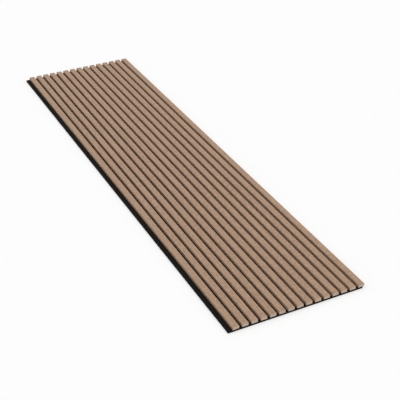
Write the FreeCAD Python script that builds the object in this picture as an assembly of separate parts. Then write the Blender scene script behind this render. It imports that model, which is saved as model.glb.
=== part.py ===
import FreeCAD, Part
import os

# An acoustic slat wall panel: a row of veneered fibreboard slats, stapled from
# behind to a board of pressed polyester felt that shows black between them.
#
# The panel lies on its back. X runs across the slats, Y along them, and Z up
# through the thickness to the veneered face, all in millimetres. The origin is
# in the middle of the whole panel, on the back of the felt.
#
# The felt isn't centred under the slats. On the left it stands out past the
# first slat as a lip, and on the right it stops short under the last slat. Two
# panels therefore butt felt to felt, and the seam is hidden by a slat.

# The slats, measured over their veneer
panel_length = 2400.0
slat_count = 15
slat_width = 27.0
slat_height = 13.0
slat_gap = 13.0
veneer_thickness = 0.6
core_edge_radius = 0.9

# The felt board
felt_thickness = 9.0
felt_setback = 7.0

# The staples: flat wire, driven through the felt into the cores
staples_per_slat = 4
staple_crown = 6.0
staple_wire_width = 1.2
staple_wire_thickness = 0.9
staple_sink = 0.4
staple_bite = 6.0

# What follows from them
slat_pitch = slat_width + slat_gap
slat_field = slat_count * slat_pitch - slat_gap
slat_edge_radius = core_edge_radius + veneer_thickness
felt_lip = slat_gap + felt_setback
felt_width = felt_lip + slat_field - felt_setback
panel_width = felt_lip + slat_field
staple_pitch = panel_length / staples_per_slat

panel_left = -panel_width / 2
panel_near = -panel_length / 2
first_slat_left = panel_left + felt_lip
along_panel = FreeCAD.Vector(0, panel_length, 0)


def slat_left(index):
    """X of a slat's left face, over its veneer."""
    return first_slat_left + index * slat_pitch


def bar_on_felt(left, width, height, radius):
    """A bar on the felt, the panel's full length, with its two top edges rounded."""
    right = left + width
    foot = felt_thickness
    top = foot + height
    corner = radius * (1 - 0.5 ** 0.5)

    def at(x, z):
        return FreeCAD.Vector(x, panel_near, z)

    outline = [
        Part.LineSegment(at(left, foot), at(left, top - radius)),
        Part.Arc(at(left, top - radius), at(left + corner, top - corner), at(left + radius, top)),
        Part.LineSegment(at(left + radius, top), at(right - radius, top)),
        Part.Arc(at(right - radius, top), at(right - corner, top - corner), at(right, top - radius)),
        Part.LineSegment(at(right, top - radius), at(right, foot)),
        Part.LineSegment(at(right, foot), at(left, foot)),
    ]
    wire = Part.Wire([edge.toShape() for edge in outline])
    return Part.Face(wire).extrude(along_panel)


def veneered_bar(index):
    """A whole slat, out to the face of its veneer."""
    return bar_on_felt(slat_left(index), slat_width, slat_height, slat_edge_radius)


def bare_bar(index):
    """A slat without its veneer: the fibreboard, before it is stapled."""
    left = slat_left(index) + veneer_thickness
    width = slat_width - 2 * veneer_thickness
    height = slat_height - veneer_thickness
    return bar_on_felt(left, width, height, core_edge_radius)


def staple_places(index):
    """X and Y of each staple under a slat: along its middle, evenly spaced."""
    middle = slat_left(index) + slat_width / 2
    first = panel_near + staple_pitch / 2
    return [(middle, first + row * staple_pitch) for row in range(staples_per_slat)]


def staple(x, y):
    """One staple: a crown that lies along the slat, and a leg at each end of it."""
    bottom = staple_sink
    shoulder = bottom + staple_wire_thickness
    point = felt_thickness + staple_bite
    outer = staple_crown / 2
    inner = outer - staple_wire_thickness
    side = x - staple_wire_width / 2
    outline = [
        (-outer, bottom),
        (outer, bottom),
        (outer, point),
        (inner, point),
        (inner, shoulder),
        (-inner, shoulder),
        (-inner, point),
        (-outer, point),
        (-outer, bottom),
    ]
    wire = Part.makePolygon([FreeCAD.Vector(side, y + along, z) for along, z in outline])
    return Part.Face(wire).extrude(FreeCAD.Vector(staple_wire_width, 0, 0))


def crown_slot(x, y):
    """The slot that a crown sinks into, from the back of the felt up to the crown."""
    corner = FreeCAD.Vector(x - staple_wire_width / 2, y - staple_crown / 2, 0)
    return Part.makeBox(staple_wire_width, staple_crown, staple_sink, corner)


def staples_under(index):
    """The staples that hold one slat."""
    return [staple(x, y) for x, y in staple_places(index)]


def slat_core(index):
    """The fibreboard inside a slat, pierced from below by the legs of its staples."""
    return bare_bar(index).cut(Part.makeCompound(staples_under(index)))


def slat_veneer(index):
    """The veneer, folded over a slat's face and both sides and open to the felt."""
    return veneered_bar(index).cut(bare_bar(index))


def felt_board():
    """The felt, pierced by every staple, with each crown sunk into its back."""
    corner = FreeCAD.Vector(panel_left, panel_near, 0)
    board = Part.makeBox(felt_width, panel_length, felt_thickness, corner)
    pierced = []
    for index in range(slat_count):
        for x, y in staple_places(index):
            pierced.append(crown_slot(x, y).fuse(staple(x, y)))
    return board.cut(Part.makeCompound(pierced)).removeSplitter()


def back_staples():
    """All the staples, as separate solids."""
    staples = []
    for index in range(slat_count):
        staples.extend(staples_under(index))
    return Part.makeCompound(staples)


def save(shape, node):
    """Write one piece and print its size, so that a build shows what it made."""
    shape.exportStep(os.path.join("parts", node + ".step"))
    print(f"{node}: {len(shape.Solids)} solids, {shape.Volume / 1000:.2f} cm3")


def build():
    os.makedirs("parts", exist_ok=True)
    for index in range(slat_count):
        save(slat_core(index), f"slat_core_{index + 1:02d}")
        save(slat_veneer(index), f"slat_veneer_{index + 1:02d}")
    save(felt_board(), "felt_backing")
    save(back_staples(), "back_staples")


build()
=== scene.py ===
import math

import bpy
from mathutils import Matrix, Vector


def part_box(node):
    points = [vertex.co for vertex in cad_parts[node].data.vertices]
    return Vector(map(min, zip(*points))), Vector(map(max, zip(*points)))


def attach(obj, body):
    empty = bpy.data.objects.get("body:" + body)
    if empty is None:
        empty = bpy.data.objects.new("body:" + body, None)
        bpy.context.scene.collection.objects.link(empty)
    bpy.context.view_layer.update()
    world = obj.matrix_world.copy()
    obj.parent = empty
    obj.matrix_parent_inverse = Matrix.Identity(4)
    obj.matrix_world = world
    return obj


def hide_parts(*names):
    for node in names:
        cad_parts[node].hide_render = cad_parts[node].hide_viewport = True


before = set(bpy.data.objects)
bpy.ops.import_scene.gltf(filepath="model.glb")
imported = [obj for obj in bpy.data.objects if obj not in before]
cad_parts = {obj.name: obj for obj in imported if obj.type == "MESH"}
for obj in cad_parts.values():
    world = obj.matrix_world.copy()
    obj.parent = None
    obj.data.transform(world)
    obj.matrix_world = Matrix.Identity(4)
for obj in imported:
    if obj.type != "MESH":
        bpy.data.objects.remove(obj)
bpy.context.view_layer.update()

# An acoustic slat wall panel, lying on its back with its veneered face up. X runs
# across the slats, Y along them and Z up through the thickness, in metres. What
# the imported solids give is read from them, and only what they don't give is
# written here.

MM = 0.001

# The slats' veneer. Points of its sheets that lie nearer than the weld become one
EDGE_RADIUS = 1.5 * MM
EDGE_CUTS = 5
WELD = 0.01 * MM

# The staples: flat wire with rounded shoulders
STAPLE_ROWS = 4
STAPLE_CROWN = 6.0 * MM
WIRE_WIDTH = 1.2 * MM
WIRE_THICKNESS = 0.9 * MM
WIRE_CORNER = 0.2 * MM
SHOULDER_RADIUS = 0.9 * MM
SHOULDER_CUTS = 4

# An edge that turns further than its crease, in radians, is drawn sharp
VENEER_CREASE = 0.5
WIRE_CREASE = 1.2

# The felt: soft arrises, and a dimple where each crown is driven into its back. Its
# skin is a grid, drawn close on rings round the staples and nowhere wider than a step
FELT_ARRIS = 0.8 * MM
ARRIS_CUTS = 3
DIMPLE_DEPTH = 0.9 * MM
DIMPLE_REACH = 5.0 * MM
DIMPLE_RINGS = (0.0, 0.6 * MM, 1.4 * MM, 2.6 * MM, 4.2 * MM, 7.0 * MM)
FELT_STEP = 60.0 * MM

# The veneer's grain. Its pattern has a depth too, where a figure is one leaf thick and
# each slat lies a jump of several leaves from the last, so that no two are alike
LEAF_JUMP = 7.31
ONE_LEAF = 1.0
GRAIN_WANDER = 6.0 * MM

# How far aside, in the pattern of its long fibres, the felt's short fibres are drawn
SHORT_FIBRES_ASIDE = (0.37, 0.11, 0.23)

# The finishes' tones, as linear red, green, blue and alpha
VENEER_LATE_WOOD = (0.345, 0.218, 0.141, 1.0)
VENEER_EARLY_WOOD = (0.457, 0.301, 0.202, 1.0)
VENEER_DRIFT = (0.392, 0.249, 0.160, 1.0)
VENEER_FLECK = (0.550, 0.398, 0.290, 1.0)
VENEER_PORE = (0.224, 0.139, 0.092, 1.0)
# The darker board tone is partly painted shade: it lies where the fibres' bump sinks
BOARD_TONE_AND_HOLLOW_SHADE = (0.430, 0.325, 0.250, 1.0)
BOARD_FIBRE = (0.600, 0.485, 0.395, 1.0)
BOARD_SPECK = (0.240, 0.160, 0.110, 1.0)
# The darkest felt tone is partly painted shade: it lies where the mat's bump sinks
FELT_TONE_AND_HOLLOW_SHADE = (0.0045, 0.0030, 0.0021, 1.0)
FELT_MAT = (0.0125, 0.0088, 0.0064, 1.0)
FELT_CLUMP = (0.0062, 0.0044, 0.0032, 1.0)
FELT_FIBRE = (0.0320, 0.0260, 0.0210, 1.0)
ZINC_DULL = (0.500, 0.510, 0.520, 1.0)
ZINC_BRIGHT = (0.680, 0.690, 0.700, 1.0)
WHITE = (1.0, 1.0, 1.0, 1.0)

# The camera, set against the photograph: where it stands, and the point it aims at
CAMERA_PLACE = (-1.5601, -3.4581, 2.2499)
CAMERA_AIM = (-0.0003, -0.3713, 0.022)
CAMERA_LENS = 82.76
CAMERA_SENSOR = 36.0

# The studio. The lift is what the floor gets where the camera sees it, and brings it
# up to the backdrop's white. The key share is how bright the lamp alone makes a
# white floor, and its spread is in degrees
FLOOR_HALF = 14.0
FLOOR_TONE = (0.84, 0.84, 0.84, 1.0)
FLOOR_LIFT = 0.168
BACKDROP_WHITE = 0.983
SKY_ZENITH = 0.75
SKY_HORIZON = 0.42
KEY_SHARE = 0.33
KEY_FROM = (-0.25, -0.6, 1.0)
KEY_AWAY = 4.0
KEY_SPREAD = 50.0


def nodes_named(start):
    """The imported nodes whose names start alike."""
    return [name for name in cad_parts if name.startswith(start)]


def measure_panel():
    """The sizes and places that the solids give, of the slats, the felt and the staples."""
    low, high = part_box("slat_veneer_01")
    core_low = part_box("slat_core_01")[0]
    next_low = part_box("slat_veneer_02")[0]
    felt_low, felt_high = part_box("felt_backing")
    staple_low, staple_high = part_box("back_staples")
    return {
        "slat_count": len(nodes_named("slat_veneer_")),
        "slat_width": high.x - low.x,
        "slat_height": high.z - low.z,
        "slat_pitch": next_low.x - low.x,
        "wrap": core_low.x - low.x,
        "length": high.y - low.y,
        "first_left": low.x,
        "near_end": low.y,
        "foot": low.z,
        "felt_low": felt_low,
        "felt_high": felt_high,
        "staple_low": staple_low,
        "staple_high": staple_high,
        "staple_row_pitch": (staple_high.y - staple_low.y - STAPLE_CROWN) / (STAPLE_ROWS - 1),
    }


# Nodes

def pick(sockets, key):
    """A socket by its place or by its name, passing over those that a mode hides."""
    if isinstance(key, int):
        return sockets[key]
    return next(socket for socket in sockets if socket.enabled and socket.name == key)


def put(tree, kind, inputs=None, **settings):
    """Add a node, set it up, and give each named input its value or its link."""
    node = tree.nodes.new(kind)
    for name, value in settings.items():
        setattr(node, name, value)
    for key, value in (inputs or {}).items():
        target = pick(node.inputs, key)
        if isinstance(value, bpy.types.NodeSocket):
            tree.links.new(value, target)
        else:
            target.default_value = value
    return node


def out(node, key=0):
    """An output socket of a node."""
    return pick(node.outputs, key)


def new_tree(name, sizes):
    """A Geometry Nodes tree with a named input for each size, and what fetches one of them."""
    tree = bpy.data.node_groups.new(name, "GeometryNodeTree")
    for label, kind in sizes.items():
        tree.interface.new_socket(name=label, in_out="INPUT", socket_type=kind)
    tree.interface.new_socket(name="Geometry", in_out="OUTPUT", socket_type="NodeSocketGeometry")
    given = tree.nodes.new("NodeGroupInput")

    def size(label):
        return out(given, label)

    return tree, size


def with_sharp_edges(tree, mesh, crease):
    """Smooth faces, with every edge that turns further than the crease kept sharp."""
    turn = out(put(tree, "GeometryNodeInputMeshEdgeAngle"), "Unsigned Angle")
    sharp = put(tree, "FunctionNodeCompare", {
        0: turn,
        1: crease,
    }, data_type="FLOAT", operation="GREATER_THAN")
    node = put(tree, "GeometryNodeSetShadeSmooth", {
        "Geometry": mesh,
        "Selection": out(sharp),
        "Shade Smooth": False,
    }, domain="EDGE")
    return out(node)


def finish_tree(tree, geometry, material):
    """End a tree: real geometry, in its material."""
    real = put(tree, "GeometryNodeRealizeInstances", {"Geometry": geometry})
    painted = put(tree, "GeometryNodeSetMaterial", {"Geometry": out(real), "Material": material})
    put(tree, "NodeGroupOutput", {"Geometry": out(painted)})


def grow(name, tree, values):
    """Run a tree with its sizes and keep the result as a plain mesh piece."""
    seedling = bpy.data.objects.new(name + "_seedling", bpy.data.meshes.new(name))
    bpy.context.scene.collection.objects.link(seedling)
    modifier = seedling.modifiers.new(tree.name, "NODES")
    modifier.node_group = tree
    for item in tree.interface.items_tree:
        if item.in_out == "INPUT":
            modifier[item.identifier] = values[item.name]
    depsgraph = bpy.context.evaluated_depsgraph_get()
    mesh = bpy.data.meshes.new_from_object(
        seedling.evaluated_get(depsgraph), preserve_all_data_layers=True, depsgraph=depsgraph
    )
    mesh.name = name
    bpy.data.objects.remove(seedling)
    piece = bpy.data.objects.new(name, mesh)
    bpy.context.scene.collection.objects.link(piece)
    return piece


# Materials

def new_material(name):
    """A material with its tree and its shader."""
    material = bpy.data.materials.new(name)
    material.use_nodes = True
    return material, material.node_tree, material.node_tree.nodes["Principled BSDF"]


def stretched(tree, place, sizes):
    """A place, scaled so that a pattern's cell has the given sizes, in metres."""
    scale = tuple(1 / size for size in sizes)
    node = put(tree, "ShaderNodeVectorMath", {0: place, 1: scale}, operation="MULTIPLY")
    return out(node)


def noise(tree, place, sizes, detail=2.0, roughness=0.5):
    """Soft noise from 0 to 1, with cells of the given sizes."""
    node = put(
        tree,
        "ShaderNodeTexNoise",
        {"Vector": stretched(tree, place, sizes), "Scale": 1.0, "Detail": detail, "Roughness": roughness},
    )
    return out(node)


def ramp(tree, value, low, high, from_value=0.0, to_value=1.0):
    """A value remapped, and held at both ends."""
    node = put(
        tree,
        "ShaderNodeMapRange",
        {"Value": value, "From Min": low, "From Max": high, "To Min": from_value, "To Max": to_value},
    )
    return out(node)


def mixed(tree, share, first, second, blend="MIX"):
    """Two colours, mixed by a share of the second."""
    node = put(
        tree, "ShaderNodeMix", {"Factor": share, "A": first, "B": second}, data_type="RGBA", blend_type=blend
    )
    return out(node, "Result")


def tinted(tree, tone, tint, value, start, full, least=0.0, most=1.0):
    """A tone with a tint over it: least where the value is at its start, most where it is full."""
    return mixed(tree, ramp(tree, value, start, full, least, most), tone, tint)


def math_node(tree, operation, first, second=0.0):
    """One step of arithmetic."""
    return out(put(tree, "ShaderNodeMath", {0: first, 1: second}, operation=operation))


def relief(tree, shader, height, strength, depth):
    """Make the surface of a finish rise with a height, as a bump."""
    bump = put(tree, "ShaderNodeBump", {"Height": height, "Strength": strength, "Distance": depth})
    tree.links.new(out(bump), shader.inputs["Normal"])


def make_veneer():
    """Light brown veneer with a fine straight grain, laid over each slat as one sheet."""
    material, tree, wood = new_material("light_brown_veneer")
    across = out(put(tree, "ShaderNodeAttribute", attribute_name="across"), "Fac")
    slat = out(put(tree, "ShaderNodeAttribute", attribute_name="slat"), "Fac")
    here = out(put(tree, "ShaderNodeTexCoord"), "Object")
    along = out(put(tree, "ShaderNodeSeparateXYZ", {"Vector": here}), "Y")
    leaf = math_node(tree, "MULTIPLY", slat, LEAF_JUMP)
    flat = out(put(tree, "ShaderNodeCombineXYZ", {"X": across, "Y": along, "Z": leaf}))

    def figure(place, width, length, detail, roughness=0.5):
        """One figure of the grain, by its width across the slat and its length along it."""
        return noise(tree, place, (width, length, ONE_LEAF), detail, roughness)

    # The grain wanders a little from side to side along the slat
    wander = figure(flat, 50 * MM, 500 * MM, 1.0)
    shift = ramp(tree, wander, 0.0, 1.0, -GRAIN_WANDER, GRAIN_WANDER)
    shifted = math_node(tree, "ADD", across, shift)
    wavy = out(put(tree, "ShaderNodeCombineXYZ", {"X": shifted, "Y": along, "Z": leaf}))

    drift = figure(flat, 30 * MM, 250 * MM, 2.0)
    growth = figure(wavy, 2.2 * MM, 300 * MM, 3.0, roughness=0.6)
    lines = figure(wavy, 0.7 * MM, 70 * MM, 2.0, roughness=0.6)
    mottle = figure(flat, 9 * MM, 11.5 * MM, 2.0)
    pores = figure(wavy, 0.6 * MM, 12 * MM, 1.0)
    flecks = figure(wavy, 1.1 * MM, 22 * MM, 1.0)
    leaf_tone = out(put(tree, "ShaderNodeTexWhiteNoise", {"W": slat}, noise_dimensions="1D"), "Value")

    # The tones lie one over the other, and then each place is shaded a little
    tone = tinted(tree, VENEER_LATE_WOOD, VENEER_EARLY_WOOD, growth, 0.30, 0.72)
    tone = tinted(tree, tone, VENEER_DRIFT, drift, 0.30, 0.70, least=0.08, most=0.28)
    tone = tinted(tree, tone, VENEER_FLECK, flecks, 0.56, 0.72, most=0.40)
    tone = tinted(tree, tone, VENEER_PORE, pores, 0.57, 0.66, most=0.55)
    shade = ramp(tree, mottle, 0.25, 0.75, 0.81, 1.19)
    shade = math_node(tree, "MULTIPLY", shade, ramp(tree, lines, 0.25, 0.75, 0.93, 1.07))
    shade = math_node(tree, "MULTIPLY", shade, ramp(tree, leaf_tone, 0.0, 1.0, 0.98, 1.02))
    grey = out(put(tree, "ShaderNodeCombineColor", {"Red": shade, "Green": shade, "Blue": shade}))
    tone = mixed(tree, 1.0, tone, grey, "MULTIPLY")
    tree.links.new(tone, wood.inputs["Base Color"])

    tree.links.new(ramp(tree, growth, 0.2, 0.8, 0.62, 0.50), wood.inputs["Roughness"])
    wood.inputs["Specular IOR Level"].default_value = 0.35
    height = math_node(tree, "SUBTRACT", lines, ramp(tree, pores, 0.56, 0.68, 0.0, 1.5))
    relief(tree, wood, height, 0.25, 0.1 * MM)
    return material


def make_fibreboard():
    """Raw sawn fibreboard: pale tan, with fine flat fibres, dark specks and painted shade in the hollows
    between the fibres.
    """
    material, tree, board = new_material("raw_fibreboard")
    here = out(put(tree, "ShaderNodeTexCoord"), "Object")
    fibres = noise(tree, here, (1.1 * MM, 1.1 * MM, 0.5 * MM), detail=3.0, roughness=0.65)
    specks = noise(tree, here, (0.4 * MM, 0.4 * MM, 0.4 * MM), detail=1.0)
    # Darker where the fibres' bump sinks: the board's own uneven tone, and painted shade in the hollows
    tone = tinted(tree, BOARD_TONE_AND_HOLLOW_SHADE, BOARD_FIBRE, fibres, 0.30, 0.70)
    tone = tinted(tree, tone, BOARD_SPECK, specks, 0.64, 0.72, most=0.50)
    tree.links.new(tone, board.inputs["Base Color"])
    tree.links.new(ramp(tree, fibres, 0.0, 1.0, 0.95, 0.8), board.inputs["Roughness"])
    board.inputs["Specular IOR Level"].default_value = 0.25
    relief(tree, board, fibres, 0.5, 0.3 * MM)
    return material


def fibre_lines(tree, place, size, width):
    """Curling hair lines: 1 where soft noise passes its middle value, and 0 a width off it."""
    swell = noise(tree, place, (size, size, size), detail=1.0)
    off = math_node(tree, "ABSOLUTE", math_node(tree, "SUBTRACT", swell, 0.5))
    return ramp(tree, off, 0.0, width, 1.0, 0.0)


def make_felt():
    """Black pressed polyester felt: a dark mat with greyer fibres curling through it, and painted shade
    where the mat sinks.
    """
    material, tree, felt = new_material("black_felt")
    here = out(put(tree, "ShaderNodeTexCoord"), "Object")
    aside = out(put(tree, "ShaderNodeVectorMath", {0: here, 1: SHORT_FIBRES_ASIDE}, operation="ADD"))
    clumps = noise(tree, here, (6 * MM, 6 * MM, 3 * MM), detail=2.0)
    mat = noise(tree, here, (0.8 * MM, 1.1 * MM, 0.6 * MM), detail=3.0, roughness=0.7)
    long_fibres = fibre_lines(tree, here, 3.5 * MM, 0.012)
    short_fibres = fibre_lines(tree, aside, 1.8 * MM, 0.02)
    fibres = math_node(tree, "MAXIMUM", long_fibres, short_fibres)

    # Darker where the mat's bump sinks: the felt's own uneven tone, and painted shade in the hollows
    tone = tinted(tree, FELT_TONE_AND_HOLLOW_SHADE, FELT_MAT, mat, 0.35, 0.70)
    tone = tinted(tree, tone, FELT_CLUMP, clumps, 0.30, 0.70, most=0.35)
    tone = tinted(tree, tone, FELT_FIBRE, fibres, 0.0, 1.0, most=0.60)
    tree.links.new(tone, felt.inputs["Base Color"])
    felt.inputs["Roughness"].default_value = 0.95
    felt.inputs["Specular IOR Level"].default_value = 0.08
    felt.inputs["Sheen Weight"].default_value = 0.01
    felt.inputs["Sheen Roughness"].default_value = 0.6
    height = math_node(tree, "ADD", mat, math_node(tree, "MULTIPLY", fibres, 0.5))
    relief(tree, felt, height, 0.8, 0.6 * MM)
    return material


def make_zinc():
    """Zinc-plated staple wire, dulled and streaked along its length."""
    material, tree, zinc = new_material("zinc_wire")
    here = out(put(tree, "ShaderNodeTexCoord"), "Object")
    streaks = noise(tree, here, (0.3 * MM, 4 * MM, 0.3 * MM), detail=2.0)
    tone = tinted(tree, ZINC_DULL, ZINC_BRIGHT, streaks, 0.30, 0.70)
    tree.links.new(tone, zinc.inputs["Base Color"])
    zinc.inputs["Metallic"].default_value = 1.0
    tree.links.new(ramp(tree, streaks, 0.0, 1.0, 0.45, 0.28), zinc.inputs["Roughness"])
    return material


# The slats' veneer

def veneer_tree(material):
    """A row of veneer wraps: a section folded over the slat, swept, thickened and repeated."""
    tree, size = new_tree("row_of_veneer_wraps", {
        "Width": "NodeSocketFloat",
        "Height": "NodeSocketFloat",
        "Length": "NodeSocketFloat",
        "Thickness": "NodeSocketFloat",
        "Edge Radius": "NodeSocketFloat",
        "Edge Cuts": "NodeSocketInt",
        "Count": "NodeSocketInt",
        "First Place": "NodeSocketVector",
        "Pitch": "NodeSocketFloat",
    })

    def point(x, z):
        return out(put(tree, "ShaderNodeCombineXYZ", {"X": x, "Z": z}))

    # The section, from the left foot up, over the face and down to the right foot
    section = put(tree, "GeometryNodeCurvePrimitiveQuadrilateral", {
        "Point 1": point(0.0, 0.0),
        "Point 2": point(0.0, size("Height")),
        "Point 3": point(size("Width"), size("Height")),
        "Point 4": point(size("Width"), 0.0),
    }, mode="POINTS")
    section = put(tree, "GeometryNodeSetSplineCyclic", {"Geometry": out(section), "Cyclic": False})
    section = put(tree, "GeometryNodeFilletCurve", {
        "Curve": out(section),
        "Radius": size("Edge Radius"),
        "Count": size("Edge Cuts"),
    }, mode="POLY")
    walked = put(tree, "GeometryNodeSplineParameter")
    section = put(tree, "GeometryNodeStoreNamedAttribute", {
        "Geometry": out(section),
        "Name": "across",
        "Value": out(walked, "Length"),
    }, data_type="FLOAT", domain="POINT")
    line = put(tree, "GeometryNodeCurveToMesh", {"Curve": out(section)})

    # The sheet, which faces into the slat, and the same sheet one thickness further in
    run = put(tree, "ShaderNodeCombineXYZ", {"Y": size("Length")})
    sheet = put(tree, "GeometryNodeExtrudeMesh", {
        "Mesh": out(line),
        "Offset": out(run),
        "Offset Scale": 1.0,
    }, mode="EDGES")
    inner = put(tree, "GeometryNodeExtrudeMesh", {
        "Mesh": out(sheet),
        "Offset Scale": size("Thickness"),
        "Individual": False,
    }, mode="FACES")
    outer = put(tree, "GeometryNodeFlipFaces", {"Mesh": out(sheet)})
    shell = put(tree, "GeometryNodeJoinGeometry")
    tree.links.new(out(inner), shell.inputs[0])
    tree.links.new(out(outer), shell.inputs[0])
    wrap = put(tree, "GeometryNodeMergeByDistance", {"Geometry": out(shell), "Distance": WELD})

    # One wrap for each slat, numbered so that no two have the same grain
    places = put(tree, "GeometryNodeMeshLine", {
        "Count": size("Count"),
        "Start Location": size("First Place"),
        "Offset": out(put(tree, "ShaderNodeCombineXYZ", {"X": size("Pitch")})),
    }, mode="OFFSET")
    folded = with_sharp_edges(tree, out(wrap), VENEER_CREASE)
    row = put(tree, "GeometryNodeInstanceOnPoints", {"Points": out(places), "Instance": folded})
    numbered = put(tree, "GeometryNodeStoreNamedAttribute", {
        "Geometry": out(row),
        "Name": "slat",
        "Value": out(put(tree, "GeometryNodeInputIndex")),
    }, data_type="FLOAT", domain="INSTANCE")
    finish_tree(tree, out(numbered), material)
    return tree


def make_veneer_wraps(panel, material):
    """The veneer of every slat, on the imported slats' sizes and places."""
    wraps = grow("veneer_wraps", veneer_tree(material), {
        "Width": panel["slat_width"],
        "Height": panel["slat_height"],
        "Length": panel["length"],
        "Thickness": panel["wrap"],
        "Edge Radius": EDGE_RADIUS,
        "Edge Cuts": EDGE_CUTS,
        "Count": panel["slat_count"],
        "First Place": (panel["first_left"], panel["near_end"], panel["foot"]),
        "Pitch": panel["slat_pitch"],
    })
    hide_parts(*nodes_named("slat_veneer_"))
    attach(wraps, "root")


# The staples

def staple_tree(material):
    """Rows of staples: flat wire bent round two shoulders, under the middle of each slat."""
    tree, size = new_tree("rows_of_staples", {
        "Crown": "NodeSocketFloat",
        "Leg": "NodeSocketFloat",
        "Wire Width": "NodeSocketFloat",
        "Wire Thickness": "NodeSocketFloat",
        "Wire Corner": "NodeSocketFloat",
        "Shoulder Radius": "NodeSocketFloat",
        "Shoulder Cuts": "NodeSocketInt",
        "First Place": "NodeSocketVector",
        "Slats": "NodeSocketInt",
        "Slat Pitch": "NodeSocketFloat",
        "Rows": "NodeSocketInt",
        "Row Pitch": "NodeSocketFloat",
    })

    def point(y, z):
        return out(put(tree, "ShaderNodeCombineXYZ", {"Y": y, "Z": z}))

    # The middle line of the wire: down one leg, along the crown and up the other leg
    half_wire = math_node(tree, "MULTIPLY", size("Wire Thickness"), 0.5)
    reach = math_node(tree, "SUBTRACT", math_node(tree, "MULTIPLY", size("Crown"), 0.5), half_wire)
    far_side = math_node(tree, "MULTIPLY", reach, -1.0)
    line = put(tree, "GeometryNodeCurvePrimitiveQuadrilateral", {
        "Point 1": point(far_side, size("Leg")),
        "Point 2": point(far_side, half_wire),
        "Point 3": point(reach, half_wire),
        "Point 4": point(reach, size("Leg")),
    }, mode="POINTS")
    line = put(tree, "GeometryNodeSetSplineCyclic", {"Geometry": out(line), "Cyclic": False})
    line = put(tree, "GeometryNodeFilletCurve", {
        "Curve": out(line),
        "Radius": size("Shoulder Radius"),
        "Count": size("Shoulder Cuts"),
    }, mode="POLY")
    wire = put(tree, "GeometryNodeCurvePrimitiveQuadrilateral", {
        "Width": size("Wire Width"),
        "Height": size("Wire Thickness"),
    }, mode="RECTANGLE")
    wire = put(tree, "GeometryNodeFilletCurve", {
        "Curve": out(wire),
        "Radius": size("Wire Corner"),
        "Count": 1,
    }, mode="POLY")
    staple = put(tree, "GeometryNodeCurveToMesh", {
        "Curve": out(line),
        "Profile Curve": out(wire),
        "Fill Caps": True,
    })

    # One under each slat, and that row again along the slats
    across = put(tree, "GeometryNodeMeshLine", {
        "Count": size("Slats"),
        "Start Location": size("First Place"),
        "Offset": out(put(tree, "ShaderNodeCombineXYZ", {"X": size("Slat Pitch")})),
    }, mode="OFFSET")
    bent = with_sharp_edges(tree, out(staple), WIRE_CREASE)
    row = put(tree, "GeometryNodeInstanceOnPoints", {"Points": out(across), "Instance": bent})
    along = put(tree, "GeometryNodeMeshLine", {
        "Count": size("Rows"),
        "Start Location": (0.0, 0.0, 0.0),
        "Offset": out(put(tree, "ShaderNodeCombineXYZ", {"Y": size("Row Pitch")})),
    }, mode="OFFSET")
    rows = put(tree, "GeometryNodeInstanceOnPoints", {"Points": out(along), "Instance": out(row)})
    finish_tree(tree, out(rows), material)
    return tree


def make_staples(panel, material):
    """All the staples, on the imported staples' places."""
    low = panel["staple_low"]
    staples = grow("staples", staple_tree(material), {
        "Crown": STAPLE_CROWN,
        "Leg": panel["staple_high"].z - low.z,
        "Wire Width": WIRE_WIDTH,
        "Wire Thickness": WIRE_THICKNESS,
        "Wire Corner": WIRE_CORNER,
        "Shoulder Radius": SHOULDER_RADIUS,
        "Shoulder Cuts": SHOULDER_CUTS,
        "First Place": (low.x + WIRE_WIDTH / 2, low.y + STAPLE_CROWN / 2, low.z),
        "Slats": panel["slat_count"],
        "Slat Pitch": panel["slat_pitch"],
        "Rows": STAPLE_ROWS,
        "Row Pitch": panel["staple_row_pitch"],
    })
    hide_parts("back_staples")
    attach(staples, "root")


# The felt

def staple_places(panel):
    """X of each column of staples, and Y of each row."""
    low = panel["staple_low"]
    columns = [low.x + WIRE_WIDTH / 2 + slat * panel["slat_pitch"] for slat in range(panel["slat_count"])]
    rows = [low.y + STAPLE_CROWN / 2 + row * panel["staple_row_pitch"] for row in range(STAPLE_ROWS)]
    return columns, rows


def grid_lines(low, high, centres, half):
    """Lines from edge to edge and none past them, close at the arrises and round each staple."""
    lines = {low, high, low + 2 * FELT_ARRIS, high - 2 * FELT_ARRIS}
    for cut in range(1, ARRIS_CUTS + 1):
        inset = FELT_ARRIS * (1 - math.cos(math.pi / 2 * cut / ARRIS_CUTS))
        lines.update((low + inset, high - inset))
    for centre in centres:
        for ring in DIMPLE_RINGS:
            lines.update((centre - half - ring, centre + half + ring))
    lines = sorted(line for line in lines if low <= line <= high)
    filled = [low]
    for start, end in zip(lines, lines[1:]):
        parts = math.ceil((end - start) / FELT_STEP)
        filled.extend(start + (end - start) * part / parts for part in range(1, parts + 1))
    return filled


def arris_drop(inset):
    """How far the rounded arris lies below the face, at a distance in from the edge."""
    short = min(max(FELT_ARRIS - inset, 0.0), FELT_ARRIS)
    return FELT_ARRIS - math.sqrt(FELT_ARRIS ** 2 - short ** 2)


def dimple(x, y, columns, rows):
    """How deep the back is pulled in at a place, by the nearest staple."""
    beside = max(min(abs(x - column) for column in columns) - WIRE_WIDTH / 2, 0.0)
    beyond = max(min(abs(y - row) for row in rows) - STAPLE_CROWN / 2, 0.0)
    away = math.hypot(beside, beyond) / DIMPLE_REACH
    if away >= 1.0:
        return 0.0
    return DIMPLE_DEPTH * (1 - away) ** 2


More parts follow.
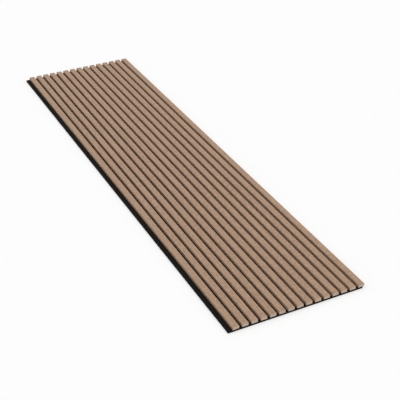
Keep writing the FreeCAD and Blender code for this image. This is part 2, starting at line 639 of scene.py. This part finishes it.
def skin_faces(across, along):
    """The faces of a closed board whose points are a grid for its front, then one for its back."""
    behind = across * along

    def at(i, j):
        return i * along + j

    faces = []
    for i in range(across - 1):
        for j in range(along - 1):
            corners = [at(i, j), at(i + 1, j), at(i + 1, j + 1), at(i, j + 1)]
            faces.append(corners)
            faces.append([behind + corner for corner in reversed(corners)])

    # The rim, once round the edge from front to back
    rim = [at(i, 0) for i in range(across - 1)]
    rim += [at(across - 1, j) for j in range(along - 1)]
    rim += [at(i, along - 1) for i in range(across - 1, 0, -1)]
    rim += [at(0, j) for j in range(along - 1, 0, -1)]
    for here, there in zip(rim, rim[1:] + rim[:1]):
        faces.append([here, behind + here, behind + there, there])
    return faces


def make_felt_board(panel, material):
    """The felt as one closed skin, with soft arrises and a dimple behind every staple."""
    low = panel["felt_low"]
    high = panel["felt_high"]
    columns, rows = staple_places(panel)
    xs = grid_lines(low.x, high.x, columns, WIRE_WIDTH / 2)
    ys = grid_lines(low.y, high.y, rows, STAPLE_CROWN / 2)
    front = []
    back = []
    for x in xs:
        for y in ys:
            drop = arris_drop(min(x - low.x, high.x - x, y - low.y, high.y - y))
            front.append((x, y, high.z - drop))
            back.append((x, y, low.z + drop + dimple(x, y, columns, rows)))

    mesh = bpy.data.meshes.new("felt_board")
    mesh.from_pydata(front + back, [], skin_faces(len(xs), len(ys)))
    mesh.shade_smooth()
    mesh.materials.append(material)
    felt = bpy.data.objects.new("felt_board", mesh)
    bpy.context.scene.collection.objects.link(felt)
    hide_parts("felt_backing")
    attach(felt, "root")


def paint_node(name, material):
    """Give a solid that stays its finish."""
    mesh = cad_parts[name].data
    mesh.materials.clear()
    mesh.materials.append(material)


# The studio

def camera_sees(tree):
    """1 for what the camera sees, straight, mirrored or through glass, and 0 for light."""
    ray = put(tree, "ShaderNodeLightPath")
    seen = math_node(tree, "MAXIMUM", out(ray, "Is Camera Ray"), out(ray, "Is Glossy Ray"))
    return math_node(tree, "MAXIMUM", seen, out(ray, "Is Transmission Ray"))


def make_sky():
    """A white room for the camera; as light, a dome that is brighter overhead."""
    world = bpy.data.worlds.new("studio_dome")
    bpy.context.scene.world = world
    world.use_nodes = True
    tree = world.node_tree
    tree.nodes.clear()
    direction = out(put(tree, "ShaderNodeTexCoord"), "Generated")
    rise = out(put(tree, "ShaderNodeSeparateXYZ", {"Vector": direction}), "Z")
    glow = ramp(tree, rise, 0.0, 1.0, SKY_HORIZON, SKY_ZENITH)
    dome = put(tree, "ShaderNodeBackground", {"Color": WHITE, "Strength": glow})
    backdrop = put(tree, "ShaderNodeBackground", {"Color": WHITE, "Strength": BACKDROP_WHITE})
    both = put(tree, "ShaderNodeMixShader", {0: camera_sees(tree), 1: out(dome), 2: out(backdrop)})
    put(tree, "ShaderNodeOutputWorld", {"Surface": out(both)})


def make_key_light():
    """One broad soft lamp, high in front of the panel."""
    light = bpy.data.lights.new("key_light", "SUN")
    toward = Vector(KEY_FROM).normalized()
    light.energy = KEY_SHARE * math.pi / toward.z
    light.angle = math.radians(KEY_SPREAD)
    lamp = bpy.data.objects.new("key_light", light)
    lamp.rotation_euler = toward.to_track_quat("Z", "Y").to_euler()
    lamp.location = toward * KEY_AWAY
    bpy.context.scene.collection.objects.link(lamp)


def make_floor(height):
    """A pale floor that keeps the panel's shadow and reads white to the camera."""
    mesh = bpy.data.meshes.new("floor")
    corners = [(-1, -1), (1, -1), (1, 1), (-1, 1)]
    mesh.from_pydata([(x * FLOOR_HALF, y * FLOOR_HALF, height) for x, y in corners], [], [(0, 1, 2, 3)])
    floor = bpy.data.objects.new("floor", mesh)
    bpy.context.scene.collection.objects.link(floor)
    material, tree, matt = new_material("pale_floor")
    matt.inputs["Base Color"].default_value = FLOOR_TONE
    matt.inputs["Roughness"].default_value = 1.0
    matt.inputs["Specular IOR Level"].default_value = 0.0
    matt.inputs["Emission Color"].default_value = WHITE
    lift = math_node(tree, "MULTIPLY", camera_sees(tree), FLOOR_LIFT)
    tree.links.new(lift, matt.inputs["Emission Strength"])
    mesh.materials.append(material)


def make_camera():
    """The photograph's view: upright, from the near left, looking down on the panel."""
    lens = bpy.data.cameras.new("camera")
    lens.lens = CAMERA_LENS
    lens.sensor_width = CAMERA_SENSOR
    camera = bpy.data.objects.new("camera", lens)
    camera.location = CAMERA_PLACE
    aim = Vector(CAMERA_AIM) - Vector(CAMERA_PLACE)
    camera.rotation_euler = aim.to_track_quat("-Z", "Y").to_euler()
    bpy.context.scene.collection.objects.link(camera)
    bpy.context.scene.camera = camera


def build():
    """The studio first, then the finishes, then the panel from its face to its back."""
    panel = measure_panel()
    bpy.context.scene.view_settings.view_transform = "Standard"
    make_camera()
    make_sky()
    make_key_light()
    make_floor(panel["felt_low"].z)

    veneer = make_veneer()
    fibreboard = make_fibreboard()
    felt = make_felt()
    zinc = make_zinc()
    make_veneer_wraps(panel, veneer)
    for name in nodes_named("slat_core_"):
        paint_node(name, fibreboard)
    make_felt_board(panel, felt)
    make_staples(panel, zinc)


build()
